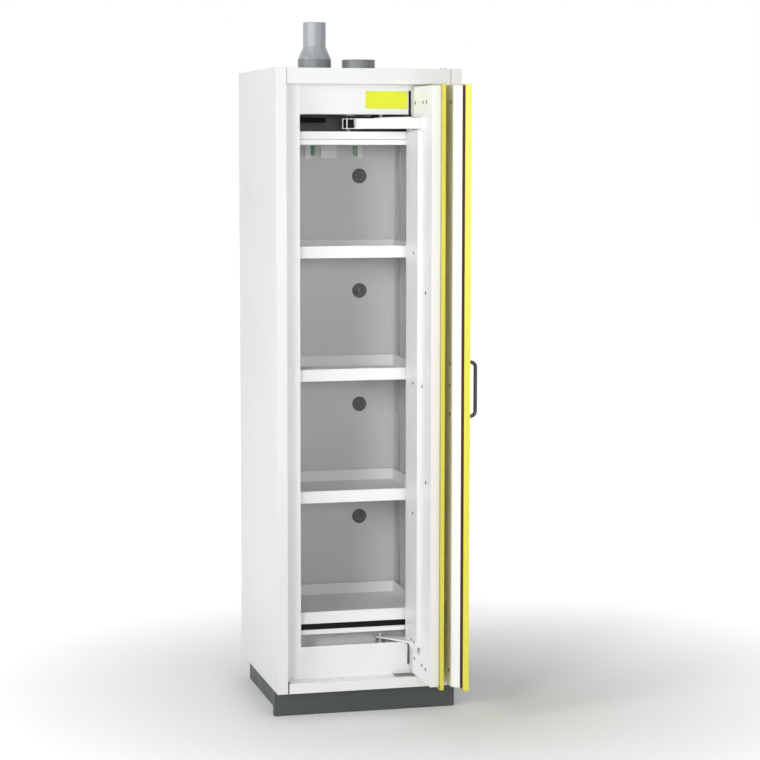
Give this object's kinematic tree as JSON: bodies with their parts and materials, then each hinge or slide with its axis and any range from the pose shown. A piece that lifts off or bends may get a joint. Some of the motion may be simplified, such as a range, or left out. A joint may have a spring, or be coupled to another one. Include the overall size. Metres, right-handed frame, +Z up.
{
  "type": "safety cabinet",
  "caption": "Tall fire-resistant cabinet for flammable liquids: two linked door leaves open to one side, lipped shelves over a sump tray, fire flaps in its ceiling ducts.",
  "frame": {"origin": "on the floor, under the centre of the casing's 600 x 615 mm footprint", "axes": "+X to the right as seen from the front, +Y to the back, +Z up; the door side faces -Y"},
  "size_m": [0.6, 0.851, 2.231],
  "materials": {
    "white_paint": "light grey-white powder coat, fine orange peel",
    "yellow_paint": "warning yellow powder coat",
    "mineral_board": "unfinished fire board",
    "liner_board": "matt grey-white laminate",
    "shelf_paint": "white powder coat",
    "galvanised_steel": "zinc-coated sheet steel",
    "grey_plastic": "satin grey moulded plastic",
    "black_plastic": "matt black",
    "plinth_paint": "anthracite powder coat",
    "dark_paint": "dark grey powder coat",
    "fire_strip": "dark red-brown swelling strip",
    "grey_strip": "grey sealing strip",
    "green_glass": "tinted glass bulb"
  },
  "bodies": {
    "cabinet": {"left_side_panel": "white_paint", "right_side_panel": "white_paint", "roof_panel": "white_paint", "rear_panel": "white_paint", "base_panel": "white_paint", "top_fascia": "white_paint", "sill_rail": "white_paint", "frame_left": "white_paint", "frame_right": "white_paint", "frame_top": "white_paint", "frame_bottom": "white_paint", "label_plate": "yellow_paint", "side_insulation": "mineral_board", "rear_insulation": "mineral_board", "roof_insulation": "mineral_board", "floor_insulation": "mineral_board", "left_liner": "liner_board", "right_liner": "liner_board", "rear_liner": "liner_board", "rear_riser": "galvanised_steel", "vent_grilles": "grey_plastic", "air_ducts": "galvanised_steel", "roof_spigots": "grey_plastic", "exhaust_reducer": "grey_plastic", "floor_pan": "shelf_paint", "sump_stand": "black_plastic", "sump_tray": "shelf_paint", "lower_shelf": "shelf_paint", "middle_shelf": "shelf_paint", "upper_shelf": "shelf_paint", "shelf_rails": "galvanised_steel", "shelf_hooks": "galvanised_steel", "ceiling_pan": "shelf_paint", "air_box": "shelf_paint", "damper_brackets": "shelf_paint", "fusible_links": "green_glass", "plinth_front": "plinth_paint", "plinth_sides": "plinth_paint", "levelling_feet": "black_plastic", "curved_guide": "galvanised_steel", "upper_pivot_bearing": "galvanised_steel", "lower_pivot_bearing": "galvanised_steel", "closer_rail": "black_plastic", "jamb_pins": "galvanised_steel", "catch_plate": "galvanised_steel"},
    "left_leaf": {"left_leaf_skin": "yellow_paint", "left_leaf_core": "mineral_board", "left_leaf_tray": "white_paint", "left_leaf_strip": "grey_strip", "swing_frame": "white_paint", "box_arm": "white_paint", "arm_slider": "black_plastic"},
    "right_leaf": {"right_leaf_skin": "yellow_paint", "right_leaf_core": "mineral_board", "right_leaf_tray": "white_paint", "right_leaf_strip": "fire_strip", "bow_handle": "dark_paint", "pivot_shoes": "galvanised_steel"},
    "exhaust_damper": {"exhaust_flap": "galvanised_steel"},
    "supply_damper": {"supply_flap": "galvanised_steel"}
  },
  "joints": [
    {"name": "left_leaf_swing", "type": "hinge", "parent": "cabinet", "child": "left_leaf", "pos_m": [0.068, -0.1855, 1.073], "axis": [0, 0, -1], "range_deg": [0, 90]},
    {"name": "right_leaf_hinge", "type": "hinge", "parent": "cabinet", "child": "right_leaf", "pos_m": [0.249, -0.2925, 1.068], "axis": [0, 0, -1], "range_deg": [0, 90]},
    {"name": "exhaust_flap_hinge", "type": "hinge", "parent": "cabinet", "child": "exhaust_damper", "pos_m": [-0.075, 0.1475, 1.94], "axis": [0, 1, 0], "range_deg": [0, 90]},
    {"name": "supply_flap_hinge", "type": "hinge", "parent": "cabinet", "child": "supply_damper", "pos_m": [0.075, 0.1475, 1.94], "axis": [0, 1, 0], "range_deg": [0, 90]}
  ],
  "couplings": [
    {"joint": "right_leaf_hinge", "follows": "left_leaf_swing", "ratio": 1}
  ]
}
